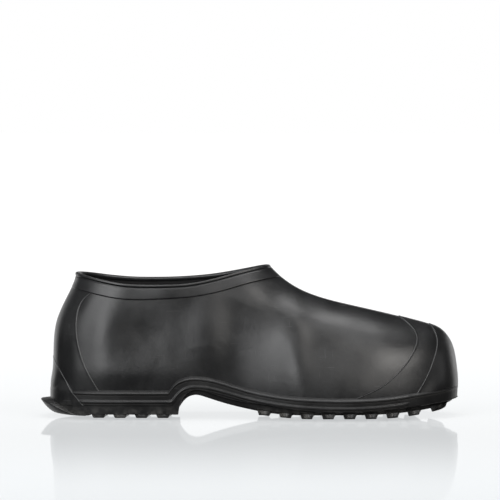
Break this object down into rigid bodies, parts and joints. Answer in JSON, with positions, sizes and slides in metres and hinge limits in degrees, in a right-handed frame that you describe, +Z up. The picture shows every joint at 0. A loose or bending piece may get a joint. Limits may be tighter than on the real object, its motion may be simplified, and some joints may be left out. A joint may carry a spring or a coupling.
{
  "type": "rubber overshoe",
  "caption": "Low black rubber overshoe, worn over a shoe, with a banded collar, toe and heel sheets, a ribbed side, a cleated sole with a heel and a kick-off tab.",
  "frame": {"origin": "centre of the shoe's box on the floor that it stands on", "axes": "+X towards the toe, +Z up, -Y towards the shoe's outer side"},
  "size_m": [0.325, 0.1066, 0.1162],
  "materials": {
    "upper_rubber": "semi-gloss moulded black rubber",
    "band_rubber": "semi-gloss moulded black rubber",
    "sheet_rubber": "semi-gloss moulded black rubber",
    "sole_rubber": "dull moulded black rubber"
  },
  "bodies": {
    "root": {"upper": "upper_rubber", "collar_band": "band_rubber", "heel_counter": "sheet_rubber", "heel_guard": "sheet_rubber", "toe_cap": "sheet_rubber", "toe_guard": "sheet_rubber", "outsole": "sole_rubber"}
  },
  "joints": []
}
